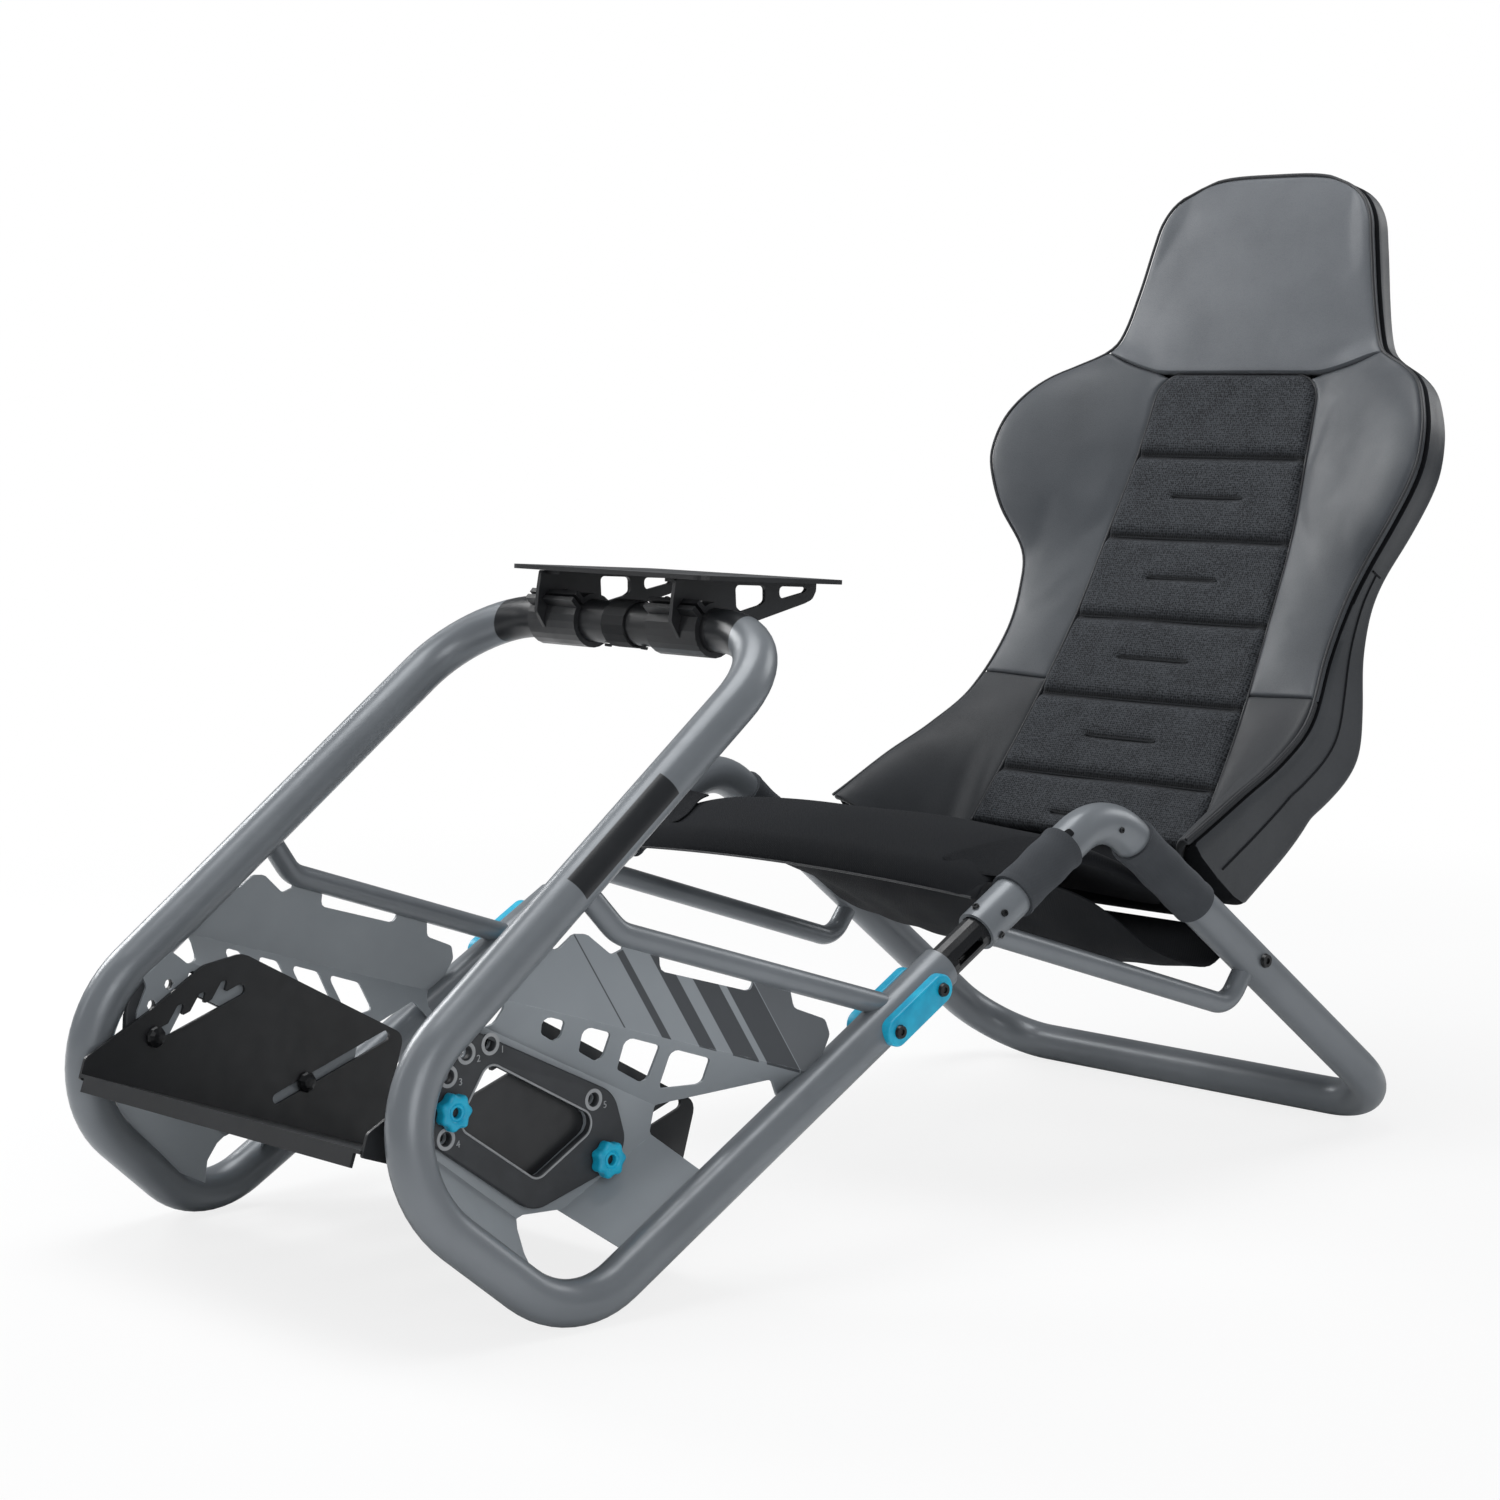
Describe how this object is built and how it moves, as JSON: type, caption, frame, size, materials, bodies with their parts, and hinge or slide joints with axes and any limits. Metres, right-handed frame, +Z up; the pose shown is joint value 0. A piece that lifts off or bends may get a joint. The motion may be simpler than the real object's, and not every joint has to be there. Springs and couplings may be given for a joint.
{
  "type": "racing cockpit seat",
  "caption": "Bent-tube racing cockpit: slung bucket seat on a rear frame, telescoping front frame with pressed side panels, tilting wheel deck and sliding pedal plate.",
  "frame": {"origin": "on the floor, below the middle of the bounding box", "axes": "+Z up; the driver faces -Y and lies along Y; +X is the driver's left"},
  "size_m": [0.578, 1.3852, 0.9531],
  "materials": {
    "frame_paint": "satin",
    "panel_paint": "satin",
    "black_metal": "satin",
    "black_plastic": "matte",
    "cyan_plastic": "semi-gloss",
    "leather": "satin grained",
    "fabric": "woven, matte",
    "mesh": "knitted mesh, matte"
  },
  "bodies": {
    "rear_frame": {"rear_frame_tube": "frame_paint", "slide_tube_left": "black_metal", "slide_tube_right": "black_metal", "slide_bolt_left": "black_metal", "slide_bolt_right": "black_metal", "rear_brace_left": "frame_paint", "rear_brace_right": "frame_paint", "leg_bolt_left": "black_metal", "leg_bolt_right": "black_metal", "front_sleeve_left": "fabric", "front_sleeve_right": "fabric", "rear_sleeve_left": "fabric", "rear_sleeve_right": "fabric", "seat_cushion": "fabric", "under_sling": "fabric", "backrest_shell": "fabric", "backrest_panel": "mesh", "bolster_left": "leather", "bolster_right": "leather", "wing_left": "fabric", "wing_right": "fabric", "headrest": "leather"},
    "front_frame": {"front_loop_left": "frame_paint", "front_loop_right": "frame_paint", "front_brace_left": "frame_paint", "front_brace_right": "frame_paint", "side_panel_left": "panel_paint", "side_panel_right": "panel_paint", "pedal_cover_left": "black_plastic", "pedal_cover_right": "black_plastic", "slide_clamp_outer_left": "cyan_plastic", "slide_clamp_outer_right": "cyan_plastic", "slide_clamp_inner_left": "cyan_plastic", "slide_clamp_inner_right": "cyan_plastic", "clamp_bolt_rear_left": "black_metal", "clamp_bolt_rear_right": "black_metal", "clamp_bolt_front_left": "black_metal", "clamp_bolt_front_right": "black_metal", "pedal_bolt_front_left": "black_metal", "pedal_bolt_front_right": "black_metal", "pedal_bolt_rear_left": "black_metal", "pedal_bolt_rear_right": "black_metal", "crossbar": "black_metal", "crossbar_collar": "black_plastic"},
    "wheel_deck_body": {"wheel_deck": "black_metal", "deck_bracket_left": "black_metal", "deck_bracket_right": "black_metal", "bar_clamp_left": "black_metal", "bar_clamp_right": "black_metal", "bar_clamp_bolt_left": "black_metal", "bar_clamp_bolt_right": "black_metal"},
    "pedal_plate_body": {"pedal_plate": "black_metal"},
    "knob_front_left_body": {"knob_front_left": "cyan_plastic"},
    "knob_front_right_body": {"knob_front_right": "cyan_plastic"},
    "knob_rear_left_body": {"knob_rear_left": "cyan_plastic"},
    "knob_rear_right_body": {"knob_rear_right": "cyan_plastic"}
  },
  "joints": [
    {"name": "frame_length", "type": "slide", "parent": "rear_frame", "child": "front_frame", "axis": [0, 0.8703, 0.4925], "range_m": [-0.1, 0.035]},
    {"name": "deck_tilt", "type": "hinge", "parent": "front_frame", "child": "wheel_deck_body", "pos_m": [0, -0.23901, 0.52795], "axis": [1, 0, 0], "range_deg": [-15, 15]},
    {"name": "pedal_slide", "type": "slide", "parent": "front_frame", "child": "pedal_plate_body", "axis": [0, -0.9483, -0.3173], "range_m": [0, 0.085]},
    {"name": "knob_front_left_spin", "type": "hinge", "parent": "front_frame", "child": "knob_front_left_body", "pos_m": [0.2163, -0.61211, 0.179], "axis": [1, 0, 0], "continuous": true},
    {"name": "knob_front_right_spin", "type": "hinge", "parent": "front_frame", "child": "knob_front_right_body", "pos_m": [-0.2163, -0.61211, 0.179], "axis": [1, 0, 0], "continuous": true},
    {"name": "knob_rear_left_spin", "type": "hinge", "parent": "front_frame", "child": "knob_rear_left_body", "pos_m": [0.2163, -0.45411, 0.1165], "axis": [1, 0, 0], "continuous": true},
    {"name": "knob_rear_right_spin", "type": "hinge", "parent": "front_frame", "child": "knob_rear_right_body", "pos_m": [-0.2163, -0.45411, 0.1165], "axis": [1, 0, 0], "continuous": true}
  ]
}
